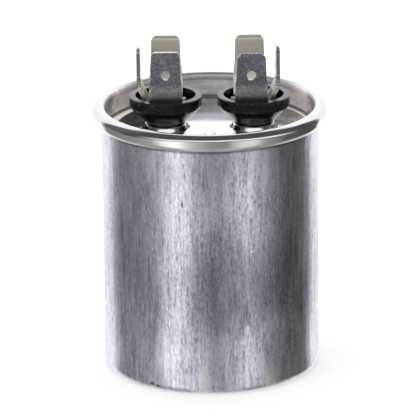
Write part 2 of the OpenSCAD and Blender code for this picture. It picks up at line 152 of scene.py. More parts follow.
class Wire:
    """A value that runs between the nodes of a finish. Sums, products and powers of wires add Math nodes."""

    def __init__(self, tree, socket):
        self.tree = tree
        self.socket = socket

    def node(self, kind, settings=(), values=(), output=0):
        """Adds a node, makes its settings, fills its inputs with numbers or wires, and returns one output."""
        node = self.tree.nodes.new(kind)
        for key, value in dict(settings).items():
            if key == "stops":
                ramp = node.color_ramp.elements
                while len(ramp) < len(value):
                    ramp.new(0.5)
                for element, (position, colour) in zip(ramp, value):
                    element.position = position
                    element.color = (*colour, 1)
            else:
                setattr(node, key, value)
        for key, value in dict(values).items():
            if isinstance(value, Wire):
                self.tree.links.new(value.socket, node.inputs[key])
            else:
                node.inputs[key].default_value = value
        return Wire(self.tree, node.outputs[output])

    def math(self, operation, first, second=0.0):
        """A Math node on one or two numbers or wires."""
        return self.node("ShaderNodeMath", {"operation": operation}, {0: first, 1: second})

    def __add__(self, other):
        return self.math("ADD", self, other)

    def __sub__(self, other):
        return self.math("SUBTRACT", self, other)

    def __rsub__(self, other):
        return self.math("SUBTRACT", other, self)

    def __mul__(self, other):
        return self.math("MULTIPLY", self, other)

    def __truediv__(self, other):
        return self.math("DIVIDE", self, other)

    def __pow__(self, other):
        return self.math("POWER", self, other)

    def __abs__(self):
        return self.math("ABSOLUTE", self)

    __radd__ = __add__
    __rmul__ = __mul__

    def rise(self, low, high):
        """A smooth rise from 0 at low to 1 at high, level outside them; a fall if low is the larger."""
        return self.node("ShaderNodeMapRange", {"interpolation_type": "SMOOTHSTEP"},
                         {"Value": self, "From Min": low, "From Max": high})

    def scaled(self, x, y, z):
        """This place in metres, multiplied along each axis."""
        return self.node("ShaderNodeVectorMath", {"operation": "MULTIPLY"}, {0: self, 1: (x, y, z)})

    def noise(self, scale, detail=2.0, rough=0.5, shift=0.0):
        """Cloudy noise from 0 to 1 at this place, of scale waves to a metre, moved by shift on each axis."""
        moved = self.node("ShaderNodeVectorMath", {"operation": "ADD"}, {0: self, 1: (shift, shift, shift)})
        return moved.node("ShaderNodeTexNoise", {},
                          {"Vector": moved, "Scale": scale, "Detail": detail, "Roughness": rough})

    def tint(self, low, high):
        """A colour that goes from low to high as this value goes from 0 to 1."""
        return self.node("ShaderNodeMix", {"data_type": "RGBA", "clamp_factor": True},
                         {0: self, 6: colour_of(low), 7: colour_of(high)}, output=2)

    def axes(self, unit=1.0):
        """The X, Y and Z of this place as three values, counted in a unit of so many metres."""
        counted = self.scaled(1 / unit, 1 / unit, 1 / unit)
        split = counted.node("ShaderNodeSeparateXYZ", {}, {0: counted}).socket.node
        return [Wire(self.tree, output) for output in split.outputs]

    def spot(self, x, y, z, size_x, size_y, size_z):
        """1 at a point given in millimetres, fading to 0 at the half sizes of an ellipsoid about it."""
        middle = (x * MM, y * MM, z * MM)
        away = self.node("ShaderNodeVectorMath", {"operation": "SUBTRACT"}, {0: self, 1: middle})
        away = away.scaled(1 / (size_x * MM), 1 / (size_y * MM), 1 / (size_z * MM))
        far = away.node("ShaderNodeVectorMath", {"operation": "LENGTH"}, {0: away}, output=1)
        return far.rise(1.0, 0.45)


def colour_of(value):
    """A wire as it is, or three numbers as a colour."""
    return value if isinstance(value, Wire) else (*value, 1)


def new_finish(name):
    """An empty node material, and the Object coordinates that its pattern is laid out on."""
    material = bpy.data.materials.new(name)
    material.use_nodes = True
    material.node_tree.nodes.clear()
    tree = material.node_tree
    return material, Wire(tree, tree.nodes.new("ShaderNodeTexCoord").outputs["Object"])


def end_in(kind, shader):
    """Leads a shader to its tree's output node."""
    out = shader.tree.nodes.new(kind)
    shader.tree.links.new(shader.socket, out.inputs["Surface"])


def shade(material, place, base, roughness, metallic=0.0, bump=None, depth=0.05, ior=1.5):
    """Ends a finish in a Principled shader. Bump is a height of which 1 stands for a depth in millimetres."""
    values = {"Base Color": colour_of(base), "Roughness": roughness, "Metallic": metallic, "IOR": ior}
    if bump is not None:
        relief = {"Strength": 1.0, "Distance": depth * MM, "Height": bump}
        values["Normal"] = place.node("ShaderNodeBump", {}, relief)
    end_in("ShaderNodeOutputMaterial", place.node("ShaderNodeBsdfPrincipled", {}, values))
    return material


def wall_marks(place, *marks):
    """The sum of soft marks on the can's wall: strength, degrees from the front, height, width, length."""
    total = 0.0
    for strength, degrees, height, width, length in marks:
        turn = math.radians(degrees)
        middle = (CAN_R * math.sin(turn), -CAN_R * math.cos(turn), height)
        total = total + strength * place.spot(*middle, width / 2, width / 2, length / 2)
    return total


drawn_aluminium, place = new_finish("drawn_aluminium")
z = place.axes(MM)[2]
broad = place.scaled(1, 1, 0.5).noise(60, 3, 0.55)
cloud = place.scaled(1, 1, 0.5).noise(210, 3, 0.6, 1.4)
streak = place.scaled(1, 1, 0.10).noise(900, 3, 0.6, 3.1)
fine = place.scaled(1, 1, 0.06).noise(2600, 2, 0.6, 5.7)
pebble = place.scaled(1, 1, 0.38).noise(2300, 2, 0.65, 9.2)
grit = place.scaled(1, 1, 0.8).noise(3400, 2, 0.6, 2.2)
glint = pebble.rise(0.60, 0.70) * cloud.rise(0.42, 0.6)
dull = pebble.rise(0.42, 0.30) * streak.rise(0.55, 0.4)
# A slow wave of lighter and darker tone up the wall.
height_wave = place.math("COSINE", (z - 48.5) * (2 * math.pi / 46) + 3 * (broad - 0.5))
tone = 1.1 * (streak - 0.5) + 1.25 * (pebble - 0.5) + 0.8 * (fine - 0.5) + 0.8 * (cloud - 0.5)
tone = tone + 0.9 * (grit - 0.5) * wall_marks(place, (1.0, 8, 41, 46, 24))
lively = 1 + wall_marks(place, (0.3, 16, 28, 48, 76))
shine = lively * tone + 0.5 + 0.08 * height_wave + 0.3 * glint - 0.25 * dull
# Broad lighter and darker bands on the wall are painted reflections, set into the metal's colour.
painted_light_bands = wall_marks(place, (0.35, 14, 42, 34, 28), (1.9, 34, -2, 46, 44), (0.55, -42, 4, 30, 46))
painted_dark_bands = wall_marks(place, (0.7, 10, 24, 26, 34), (0.35, 38, 27, 16, 28), (0.30, -62, 36, 14, 70))
painted_band_level = 0.8 + (0.28 * painted_light_bands - 0.26 * painted_dark_bands) * (0.4 + 1.2 * streak)
base = painted_band_level.tint((0, 0, 0), shine.tint((0.425, 0.425, 0.52), (1.1, 1.1, 1.22)))
seam_shadow = z.rise(rim_foot_z - 1.0, rim_foot_z - 0.3)
base = (0.8 * seam_shadow).tint(base, (0.10, 0.10, 0.12))
dark_marks = wall_marks(place, (1.0, -34, 1.6, 1.6, 0.9), (1.0, -30.3, 1.3, 1.4, 0.8),
                        (0.6, -35.2, 46, 0.7, 6.0), (1.0, -15, 43.9, 0.7, 2.2))
base = (0.8 * dark_marks).tint(base, (0.08, 0.08, 0.085))
brown_mark = wall_marks(place, (0.85, -14.2, 5.6, 0.9, 2.6)) * wall_marks(place, (1.0, -13.6, 5.6, 1.0, 3.0))
base = brown_mark.tint(base, (0.22, 0.12, 0.07))
bright_marks = wall_marks(place, (1.0, 22, 32.7, 1.6, 0.8), (1.0, 46.4, 19.4, 0.9, 1.6),
                          (1.0, 47.9, 12.9, 0.8, 1.5), (1.0, 19, 14.8, 1.4, 2.8))
base = (0.8 * bright_marks).tint(base, (0.95, 0.95, 0.95))
rough = 0.28 - 0.08 * glint + 0.08 * dull + 0.1 * (streak - 0.5)
relief = 0.6 * streak + 0.12 * fine + 0.35 * pebble + 0.5 * cloud + 0.6 * bright_marks - 0.6 * dark_marks
shade(drawn_aluminium, place, base, rough, 1.0, relief, 0.028)

can.data.materials.append(drawn_aluminium)
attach(can, "root")
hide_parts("can")

# ------------------------------------------------------------------ the lid and its rolled rim
# A bright sheet pressing: flat deck, two raised bosses, an upright wall and the rim that is rolled over
# the can's flange. The seaming roller polishes the rim, and flux and handling stain the wall inside it.
# The deck, the wall's sides and foot and the rim also carry painted reflection and painted shade.
DECK_Z = 54.3
DECK_EDGE_R = 22.4
DISH = 0.3
DECK_BEND_R = 0.35
HEM_REACH = 1.5
BOSS_X = 9.7
BOSS_Z = 55.7
BOSS_R = 4.35
BOSS_BEND_R = 0.28
BOSS_SLOPE = 61

crown_r = FOLD_GAP + CAN_WALL + SEAM_GAP + LID_T
crown_z = CAN_H - crown_r
well_r = bead_x - crown_r
hem_x = bead_x + LID_T
hem_z = bead_z - LID_T
hem_foot_z = rim_foot_z + LID_T
wall_foot_z = DECK_Z + DISH
deck_bend = (well_r - DECK_BEND_R, wall_foot_z + DECK_BEND_R)

boss_foot_z = DECK_Z + DISH * (BOSS_X / DECK_EDGE_R) ** 2
boss_slope = math.radians(BOSS_SLOPE)
bend_drop = BOSS_BEND_R * (1 - math.cos(boss_slope))
bend_out = BOSS_BEND_R * math.sin(boss_slope)
flank_out = (BOSS_Z - boss_foot_z - 2 * bend_drop) / math.tan(boss_slope)
boss_foot_r = BOSS_R + 2 * bend_out + flank_out
boss_side = np.concatenate([
    arc(BOSS_R, BOSS_Z - BOSS_BEND_R, BOSS_BEND_R, 90, 90 - BOSS_SLOPE, 7),
    arc(boss_foot_r, boss_foot_z + BOSS_BEND_R, BOSS_BEND_R, 270 - BOSS_SLOPE, 270, 7),
])


def raised(r, turn):
    """How far a point is pressed up: the deck's dish, or the side and top of the nearer boss if higher."""
    off_x = np.abs(r * np.sin(turn)) - BOSS_X
    away = np.hypot(off_x, r * np.cos(turn))
    boss = np.interp(away, boss_side[:, 0], boss_side[:, 1])
    dish = DISH * (np.minimum(r, DECK_EDGE_R) / DECK_EDGE_R) ** 2
    return np.maximum(dish, boss - DECK_Z)


deck_rows = [np.linspace(0, 3.6, 8), np.arange(3.8, 16, 0.16), np.linspace(16.3, DECK_EDGE_R, 12)]
deck_rows = np.concatenate(deck_rows)
under_rows = np.linspace(DECK_EDGE_R, 0, 60)
lid_profile = np.concatenate([
    np.stack([deck_rows, np.full_like(deck_rows, DECK_Z)], axis=1),
    arc(*deck_bend, DECK_BEND_R, -80, 0, 6),
    line(well_r, wall_foot_z + 0.8, well_r, crown_z - 0.1, 8),
    arc(bead_x, crown_z, crown_r, 180, 95, 14),
    arc(bead_x, bead_z, rim_r, 90, 0, 26),
    arc(hem_x, hem_z, rim_r - LID_T, 0, -90, 16),
    arc(hem_x, hem_foot_z, LID_T, -105, -180, 6),
    line(bead_x, hem_z - 0.4, bead_x, hem_foot_z + HEM_REACH, 4),
    line(hem_x, hem_foot_z + HEM_REACH, hem_x, hem_z - 0.7, 4),
    arc(hem_x, hem_z, rim_r - 2 * LID_T, -80, 0, 8),
    arc(bead_x, bead_z, rim_r - LID_T, 0, 90, 10),
    arc(bead_x, crown_z, crown_r - LID_T, 95, 180, 8),
    line(well_r + LID_T, crown_z - 0.5, well_r + LID_T, wall_foot_z + 1, 5),
    arc(*deck_bend, DECK_BEND_R + LID_T, 0, -80, 6),
    np.stack([under_rows, np.full_like(under_rows, DECK_Z - LID_T)], axis=1),
])
radius, angle, height = turned(lid_profile, 400)
on_deck = height < DECK_Z + 0.01
lid = round_piece("pressed_lid", radius, angle, height + np.where(on_deck, raised(radius, angle), 0))

rolled_lid, place = new_finish("rolled_lid_sheet")
x, y, z = place.axes(MM)
aside = abs(x)
away = (x * x + y * y) ** 0.5
inner_wall = away.rise(22.5, 22.95) * away.rise(23.9, 23.5) * z.rise(60.0, 59.6)
cloud = place.noise(150, 4, 0.6)
mottle = place.noise(330, 4, 0.65, 6.6)
speck = place.noise(1400, 2, 0.6, 2.2)
ring_mark = place.scaled(0.5, 0.5, 9).noise(300, 3, 0.6, 4.0)
warm = place.noise(800, 4, 0.75, 11.3).rise(0.32, 0.62)
bare = (0.6 * cloud + 0.3 * ring_mark).tint((0.64, 0.64, 0.66), (0.82, 0.82, 0.83))
flux_stain_and_side_shade = (0.9 * mottle + 0.7 * (ring_mark - 0.5)).rise(0.18, 0.62)
flux_stain_and_side_shade = flux_stain_and_side_shade.tint((0.50, 0.48, 0.50), (0.98, 0.92, 0.90))
# The wall's left and right sides are darkened: painted shade.
flux_stain_and_side_shade = (0.75 * aside.rise(20.6, 22.0)).tint(flux_stain_and_side_shade, (0.24, 0.235, 0.25))
flux_stain_and_side_shade = (1.8 * warm * place.spot(20.6, 9.8, 57.2, 5.0, 7.5, 3.0)).tint(flux_stain_and_side_shade, (1.0, 0.86, 0.80))
flux_stain_and_side_shade = (1.1 * warm * place.spot(-20.3, 10.9, 57.2, 4.5, 5.5, 2.6)).tint(flux_stain_and_side_shade, (0.98, 0.80, 0.74))
base = inner_wall.tint(bare, flux_stain_and_side_shade)
# Painted shade in the crease at the foot of the inner wall.
painted_crease_shade = away.rise(22.55, 22.75) * z.rise(wall_foot_z + 0.6, wall_foot_z + 0.35)
base = (0.95 * painted_crease_shade * inner_wall).tint(base, (0.12, 0.11, 0.11))

deck = away.rise(22.7, 22.3)
base = deck.tint(base, (0.78, 0.80, 0.80))
# Between the bosses the deck is tinted bluish behind them and darker further back: painted reflection.
between = deck * aside.rise(14, 11)
behind = between * y.rise(5.3, 5.8)
base = behind.tint(base, (0.84, 0.92, 1.0))
base = (between * y.rise(9, 13)).tint(base, (0.48, 0.49, 0.52))
# Dark patches on the deck beside the bosses, mostly on the left, are painted reflection.
painted_dark_reflection = place.spot(-17.2, 8.0, 54.5, 5.0, 8.5, 2.0) + place.spot(-14.6, 1.5, 54.5, 5.0, 8.0, 2.0)
painted_dark_reflection = painted_dark_reflection + 0.38 * place.spot(18.0, 10.5, 54.5, 5.2, 6.0, 2.0)
base = (1.5 * deck * painted_dark_reflection * (1 - 0.5 * speck)).tint(base, (0.012, 0.012, 0.014))
# A cream band along the deck's edge at the left and right is painted reflection.
painted_light_edge = deck * (away - 0.024 * x).rise(21.1, 21.6) * aside.rise(15, 18)
base = painted_light_edge.tint(base, (0.95, 0.94, 0.88))

outside = (1 - inner_wall) * z.rise(55.5, 55.7)
# The outer rim takes one tone below the crown and another on it; a bluish band across its middle is painted
# reflection, and the darker far rim and the darker ends at the left and right are painted shade.
base = (outside * z.rise(58.9, 58.4)).tint(base, (0.84, 0.82, 0.80))
base = (outside * z.rise(58.6, 58.9) * aside.rise(22.5, 19)).tint(base, (0.74, 0.72, 0.80))
base = (outside * z.rise(59.65, 59.8)).tint(base, (0.765, 0.76, 0.735))
painted_far_rim_shade = y.rise(10, 18) * z.rise(58.2, 58.8)
base = (0.75 * painted_far_rim_shade).tint(base, (0.30, 0.30, 0.31))
base = (0.8 * outside * aside.rise(23.8, 25.6)).tint(base, (0.64, 0.64, 0.61))
soot = place.noise(900, 3, 0.7, 7.7).rise(0.70, 0.78) * inner_wall
black_dot = place.spot(22.0, 6.0, 57.9, 0.5, 0.5, 0.4)
base = (0.8 * soot + black_dot).tint(base, (0.08, 0.06, 0.06))

rough = 0.03 + 0.04 * cloud + 0.28 * inner_wall + 0.03 * speck
relief = place.noise(120, 2, 0.5, 6.1) + 0.1 * place.noise(420, 2, 0.5, 2.6) + 0.02 * speck
stain = place.spot(20.8, 9.8, 57.2, 5.5, 8.5, 3.0) + 0.6 * place.spot(-20.3, 10.9, 57.2, 4.5, 6.5, 2.6)
hazed = behind * y.rise(13, 9)
metal = 1.0 - 0.55 * inner_wall - 0.6 * painted_light_edge - 0.42 * stain * inner_wall - 0.3 * hazed
shade(rolled_lid, place, base, rough, metal, relief, 0.03)

lid.data.materials.append(rolled_lid)
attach(lid, "root")
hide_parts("lid")

# ------------------------------------------------------------------ the fill plug
# A small soft-metal plug with a domed head, pushed into the hole that the can was filled through, with a
# dull and lightly hammered surface.
PLUG_Y = -7.0
PLUG_R = 1.57
PLUG_TOP_Z = 55.6
SHANK_R = 1.0
SHANK_END_Z = 53.0

plug_foot_z = DECK_Z + 0.02
plug_profile = np.concatenate([
    arc(0, 0, 1, 90, 0, 20) * [PLUG_R, PLUG_TOP_Z - plug_foot_z] + [0, plug_foot_z],
    line(PLUG_R, plug_foot_z - 0.1, SHANK_R, plug_foot_z - 0.1, 3),
    line(SHANK_R, SHANK_END_Z, 0, SHANK_END_Z, 3),
])
plug = round_piece("domed_plug", *turned(plug_profile, 64), PLUG_Y)

peened_plug, place = new_finish("peened_plug")
dimple = place.noise(2600, 2, 0.5)
# The dome darkens towards its foot: painted shade.
painted_edge_shade = place.axes(MM)[2].rise(PLUG_TOP_Z - 0.45, plug_foot_z + 0.2)
base = dimple.tint((0.84, 0.84, 0.82), (0.96, 0.96, 0.95))
base = (0.7 * painted_edge_shade).tint(base, (0.20, 0.20, 0.21))
shade(peened_plug, place, base, 0.4 + 0.1 * dimple, 0.25, dimple, 0.05)

plug.data.materials.append(peened_plug)
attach(plug, "root")
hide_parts("fill_plug")

# ------------------------------------------------------------------ the bushings
# Each terminal stands in a cup of glossy black phenolic, moulded in one piece with its funnel-shaped
# stem and the spigot that passes through the lid.


def refinish(node, material):
    """Gives every slot of a CAD node's object one finish."""
    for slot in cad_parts[node].material_slots:
        slot.material = material


black_moulding, place = new_finish("black_moulding")
y, z = place.axes(MM)[1:]
flow = place.noise(240, 3, 0.55)
dust = place.noise(1900, 2, 0.5, 4.4).rise(0.64, 0.72)
ring_top = z.rise(61.75, 61.95) * y.rise(-6.6, -4.2)
painted_ring_sheen = ring_top * (0.5 + 0.5 * place.noise(1500, 3, 0.6, 2.9))
painted_funnel_reflection = z.rise(58.6, 57.6) * place.noise(420, 3, 0.6, 8.1).rise(0.35, 0.65)
base = flow.tint((0.005, 0.005, 0.0055), (0.011, 0.010, 0.010))
# The funnel is lighter below the ring and patchily lighter at its foot: painted reflection of the deck.
base = z.rise(59.2, 58.6).tint(base, (0.014, 0.0135, 0.014))
base = (0.5 * painted_funnel_reflection).tint(base, (0.10, 0.09, 0.09))
base = (0.5 * dust).tint(base, (0.16, 0.15, 0.15))
# The ring's top face is lighter except at the front: painted sheen.
base = painted_ring_sheen.tint(base, (0.13, 0.135, 0.15))
rough = 0.09 + 0.04 * flow + 0.2 * dust + 0.15 * ring_top
relief = flow + 0.04 * place.noise(3200, 2, 0.5, 1.1)
shade(black_moulding, place, base, rough, 0.0, relief, 0.015, ior=1.45)
for side in ("left", "right"):
    refinish(side + "_bushing", black_moulding)

# ------------------------------------------------------------------ the terminals
# One stamping of tin-plated brass each: a foot plate on the cup's floor and three legs that lean out and
# turn upright into quick-connect blades, with a detent hole, bevelled tips and cut corners. Lengths along
# a leg are measured from the rivet, over the middle of the sheet as if it lay flat.
SHEET_T = 0.8
FOLD_R = 1.0
BEND_R = 3.2
FOOT_Z = 59.9
LEG_LEAN = 24
BLADE_X = 5.95
BEND_Z = 64.9
SHOULDER_Z = 64.6
BLADE_TOP_Z = 73.79
LEG_HALF = 3.65
ROOT_HALF = 3.375
TIP_HALF = 3.15
BEVEL_H = 1.0
CORNER_CUT = 1.0
EYE_R = 1.05
EYE_DROP = 5.3
EYE_PANEL = 2.0
NOTCH_R = 0.7
PLATE_REACH = 4.3
RIVET_R = 1.55
BURR = 0.17
BURR_WAVE = 0.07
BURR_RATE = 11
TIP_T = 0.4
EDGE_R = 0.13
ACROSS = np.linspace(-1, 1, 25)

lean = math.radians(LEG_LEAN)
slope = math.radians(90 - LEG_LEAN)
leg_rise = BEND_Z - FOOT_Z - FOLD_R
fold_foot_x = BLADE_X - FOLD_R - leg_rise * math.tan(lean)
bend_start = (BEND_R - FOLD_R) * math.tan(lean / 2)
fold_pieces = [
    (fold_foot_x, 0.0, 0.0),
    (FOLD_R * slope, 0.0, 1 / FOLD_R),
    (leg_rise / math.cos(lean) - bend_start, slope, 0.0),
    (BEND_R * lean, slope, 1 / BEND_R),
    (BLADE_TOP_Z - BEND_Z - bend_start, math.pi / 2, 0.0),
]
notch_at = (fold_foot_x + LEG_HALF) / 2
tip_at = sum(piece[0] for piece in fold_pieces)
bend_at = tip_at - (BLADE_TOP_Z - BEND_Z)
shoulder_at = tip_at - (BLADE_TOP_Z - SHOULDER_Z)
cut_at = tip_at - CORNER_CUT
eye_at = tip_at - EYE_DROP


def folded(s):
    """How far out and up the sheet lies after a length s: each straight or bend adds the part s has used."""
    out, up, start = np.zeros_like(s), np.zeros_like(s), 0.0
    for length, slope, bend in fold_pieces:
        used = np.clip(s - start, 0, length)
        if bend:
            out = out + (np.sin(slope + bend * used) - math.sin(slope)) / bend
            up = up - (np.cos(slope + bend * used) - math.cos(slope)) / bend
        else:
            out = out + used * math.cos(slope)
            up = up + used * math.sin(slope)
        start += length
    return out, FOOT_Z + up


def half_width(s, rounding):
    """Half the width of a leg after a length s. It follows the mitre between two legs and the arc of their
    notch, then the wide leg, the shoulder and the blade's taper, plus a wavy burr about the shoulder and less
    the cut corner, which is an arc for a share called rounding and a straight cut for the rest."""
    plan = np.minimum(s, folded(s)[0])
    notch = notch_at - np.sqrt(np.clip(NOTCH_R ** 2 - (plan - notch_at) ** 2, 0, None))
    leg = np.where(plan < notch_at + NOTCH_R, np.minimum(plan, notch), LEG_HALF)
    step = LEG_HALF - ROOT_HALF
    narrowed = np.clip((s - shoulder_at + step) / step, 0, 1)
    taper = np.interp(s, [shoulder_at, cut_at], [ROOT_HALF, TIP_HALF])
    burr = np.interp(s - shoulder_at, [-0.6, 0.2, 2.2, 3.0], [0, 1, 1, 0])
    blade = LEG_HALF + (taper - LEG_HALF) * narrowed + burr * (BURR + BURR_WAVE * np.sin(BURR_RATE * s))
    up_cut = np.clip((s - cut_at) / CORNER_CUT, 0, 1)
    round_cut = 1 - np.sqrt(1 - up_cut ** 2)
    cut = CORNER_CUT * (rounding * round_cut + (1 - rounding) * up_cut)
    return np.where(s < shoulder_at - 1, leg, blade) - cut


def strip(rows, half):
    """A flat strip as points (length, offset): a row at each length, spread evenly over the width there."""
    return np.stack([np.repeat(rows[:, None], len(ACROSS), 1), half[:, None] * ACROSS], axis=-1)


def holed_panel(low, high, hole_r, width_at, rings=5):
    """A flat panel with a round hole, as rings that blend from the hole's circle to the panel's outline."""
    middle = (low + high) / 2
    side = ACROSS[:-1]
    ones = np.ones_like(side)
    edge = np.concatenate([np.stack(pair, axis=1) for pair in (
        (-ones, side), (side, ones), (ones, -side), (-side, -ones))])
    edge_s = middle + edge[:, 0] * (high - low) / 2
    outline = np.stack([edge_s, edge[:, 1] * width_at(edge_s)], axis=1)
    direction = outline - [middle, 0]
    circle = [middle, 0] + hole_r * direction / np.linalg.norm(direction, axis=1, keepdims=True)
    share = np.linspace(0, 1, rings)[:, None, None]
    return circle * (1 - share) + outline * share


def level(flat):
    """A flat panel laid at the height of the foot plate."""
    return np.dstack([flat, np.full(flat.shape[:2], FOOT_Z)])


def bent(flat, heading, eye_drop, tip_drop):
    """A flat panel laid along the leg that points to a heading, its hole and tip drawn back by the drops."""
    s, offset = flat[..., 0], flat[..., 1]
    marks = [bend_at + 1, eye_at - EYE_PANEL, eye_at + EYE_PANEL, tip_at - 1]
    out, up = folded(s - np.interp(s, marks, [0, eye_drop, eye_drop, tip_drop]))
    east = out * math.cos(heading) - offset * math.sin(heading)
    north = out * math.sin(heading) + offset * math.cos(heading)
    return np.stack([east, north, up], axis=-1)


def joined(panels):
    """The points and faces of several grids of points, each told whether it closes on itself."""
    starts = np.cumsum([0] + [grid[..., 0].size for grid, closed in panels])
    faces = [grid_faces(*grid.shape[:2], closed) + start for (grid, closed), start in zip(panels, starts)]
    return np.concatenate([grid.reshape(-1, 3) for grid, closed in panels]), np.concatenate(faces)


def sheet_terminal(name, middle_x, outward, shift, turn, roundings, tip_drop, eye_drop):
    """A level foot plate and legs to the front, the back and outward, all shifted off the rivet and turned
    about it. The hole and the tip of the front blade lie lower by the two drops."""
    plate = notch_at - NOTCH_R
    foot_rows = np.linspace(plate, notch_at + NOTCH_R, 22)
    lean_rows = np.linspace(notch_at + NOTCH_R + 0.4, shoulder_at - 0.6, 12)
    blade_rows = np.linspace(shoulder_at - LEG_HALF + ROOT_HALF, bend_at + 1, 16)
    leg_rows = np.concatenate([np.sort(np.append(foot_rows, fold_foot_x)), lean_rows, blade_rows,
                               [bend_at + 1.3, eye_at - EYE_PANEL]])
    cut_rows = cut_at + CORNER_CUT * np.sin(np.linspace(0.15, 1, 9) * math.pi / 2)
    tip_rows = np.concatenate([np.linspace(eye_at + EYE_PANEL, cut_at, 4), cut_rows])
    inner_rows = np.linspace(plate, PLATE_REACH, 8)
    inner_half = np.interp(inner_rows, [plate, notch_at, PLATE_REACH], [plate, LEG_HALF, LEG_HALF])

    panels = [(level(holed_panel(-plate, plate, RIVET_R, lambda s: np.full_like(s, plate))), True),
              (level(strip(inner_rows, inner_half) * [-outward, 1]), False)]
    front, back, side = -math.pi / 2, math.pi / 2, 0 if outward > 0 else math.pi
    for heading, rounding in zip((front, back, side), roundings):
        drops = (eye_drop, tip_drop) if heading == front else (0, 0)
        eye = holed_panel(eye_at - EYE_PANEL, eye_at + EYE_PANEL, EYE_R, lambda s: half_width(s, rounding))
        panels.append((bent(strip(leg_rows, half_width(leg_rows, rounding)), heading, *drops), False))
        panels.append((bent(eye, heading, *drops), True))
        panels.append((bent(strip(tip_rows, half_width(tip_rows, rounding)), heading, *drops), False))
    points, faces = joined(panels)
    spin = math.radians(turn)
    spun = np.array([[math.cos(spin), math.sin(spin), 0], [-math.sin(spin), math.cos(spin), 0], [0, 0, 1]])
    piece = make_piece(name, (points + [shift, 0, 0]) @ spun + [middle_x, 0, 0], faces, crease=60)

    corners = np.empty(len(piece.data.vertices) * 3)
    piece.data.vertices.foreach_get("co", corners)
    y, z = corners.reshape(-1, 3).T[1:] / MM
    tip_z = BLADE_TOP_Z - np.where(y < -5, tip_drop, 0)
    slimness = np.round(np.clip((z - tip_z + BEVEL_H) / BEVEL_H, 0, 1), 2)
    bevel = piece.vertex_groups.new(name="tip_bevel")
    for share in np.unique(slimness):
        bevel.add(np.flatnonzero(slimness == share).tolist(), 1 - float(share), "REPLACE")
    return piece


tin_plate, place = new_finish("tin_plate")
x, y, z = place.axes(MM)
aside = abs(x)
cloud = place.noise(260, 3, 0.6)
grain = place.scaled(1, 1, 0.3).noise(1600, 2, 0.6, 1.7)
speck = place.noise(2300, 2, 0.6, 3.3).rise(0.66, 0.74)
scuff = place.scaled(1, 1, 2.2).noise(700, 3, 0.7, 8.8).rise(0.62, 0.70) * z.rise(67, 70)
blotch = place.noise(2000, 3, 0.6, 5.5)
mottle = blotch.rise(0.36, 0.64)
base = (0.5 * cloud + 0.2 * grain + 0.7 * mottle - 0.25).tint((0.20, 0.21, 0.27), (0.54, 0.54, 0.58))
base = (0.6 * (speck + scuff)).tint(base, (0.9, 0.9, 0.9))
base = (0.35 * z.rise(69.5, 66)).tint(base, (0.15, 0.15, 0.16))
low_leg = z.rise(66.6, 63.2)
base = (0.9 * low_leg).tint(base, mottle.tint((0.37, 0.355, 0.32), (0.57, 0.55, 0.49)))
# The outward legs are lighter low down: painted light on their sloped part.
painted_side_leg_light = aside.rise(12.4, 12.9) * low_leg
base = painted_side_leg_light.tint(base, blotch.rise(0.35, 0.65).tint((0.45, 0.41, 0.36), (0.85, 0.81, 0.74)))

# The back blades get their own lighter, less metallic colour, lighter still low down: painted reflection. A
# grey band on their bevelled tips is painted shade, with a painted highlight line along its lower edge.
painted_back_blades = y.rise(1, 4)
painted_back_tip_shade = painted_back_blades * z.rise(73.1, 73.2)
painted_back_tip_line = painted_back_blades * z.rise(72.95, 73.05) * z.rise(73.25, 73.15)
base = painted_back_blades.tint(base, (0.53, 0.50, 0.43))
base = (painted_back_blades * z.rise(68.5, 67.0)).tint(base, (0.80, 0.76, 0.65))
base = painted_back_tip_shade.tint(base, (0.37, 0.37, 0.36))
base = (0.7 * painted_back_tip_line).tint(base, (0.75, 0.75, 0.74))
side_cut = aside.rise(13.2, 13.8) * y.rise(-3.0, -3.1) * z.rise(64, 66)
base = side_cut.tint(base, (0.45, 0.42, 0.38))
# A bright streak high on the cut edge is painted highlight.
base = (side_cut * z.rise(72.3, 72.4) * z.rise(72.75, 72.65)).tint(base, (0.9, 0.9, 0.88))

shiny_front = 1 - painted_back_blades
# The legs, and the rivets that share this finish, darken to near black low in the cup: painted shadow.
painted_cup_shadow = shiny_front * z.rise(63.6, 62.1)
# The top of the front and outward blades and the lower edge of each front hole are painted highlights.
painted_blade_top_highlight = shiny_front * z.rise(73.1, 73.5)
painted_eye_highlight = place.spot(-9.6, -5.85, 67.2, 0.9, 0.8, 0.4) + place.spot(9.0, -5.95, 67.1, 1.0, 0.8, 0.4)
base = (0.9 * painted_cup_shadow).tint(base, (0.05, 0.05, 0.05))
base = (painted_blade_top_highlight + painted_eye_highlight).tint(base, (0.92, 0.92, 0.91))
worn_leg = low_leg * shiny_front
rough = 0.14 + 0.08 * cloud + 0.1 * speck + 0.25 * painted_back_blades + 0.22 * worn_leg
metal = 1.0 - 0.65 * painted_back_blades - 0.5 * worn_leg - 0.5 * painted_blade_top_highlight - 0.8 * painted_eye_highlight
shade(tin_plate, place, base, rough, metal, 0.1 * grain + cloud + 0.2 * blotch, 0.012)

left = sheet_terminal("left_blades", -BOSS_X, -1, 0.1, 0.0, (0.8, 0.6, 0.3), 0.35, 0.3)
right = sheet_terminal("right_blades", BOSS_X, 1, -0.6, 1.5, (0.0, 0.5, 0.3), 0.85, 0.45)
for piece, node in ((left, "left_terminal"), (right, "right_terminal")):
    piece.data.materials.append(tin_plate)
    thickness = piece.modifiers.new("thickness", "SOLIDIFY")
    thickness.thickness = SHEET_T * MM
    thickness.offset = 0
    thickness.vertex_group = "tip_bevel"
    thickness.thickness_vertex_group = TIP_T / SHEET_T
    edges = piece.modifiers.new("edges", "BEVEL")
    edges.width = EDGE_R * MM
    edges.segments = 3
    edges.limit_method = "ANGLE"
    edges.angle_limit = math.radians(50)
    edges.harden_normals = True
    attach(piece, "root")
    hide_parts(node)

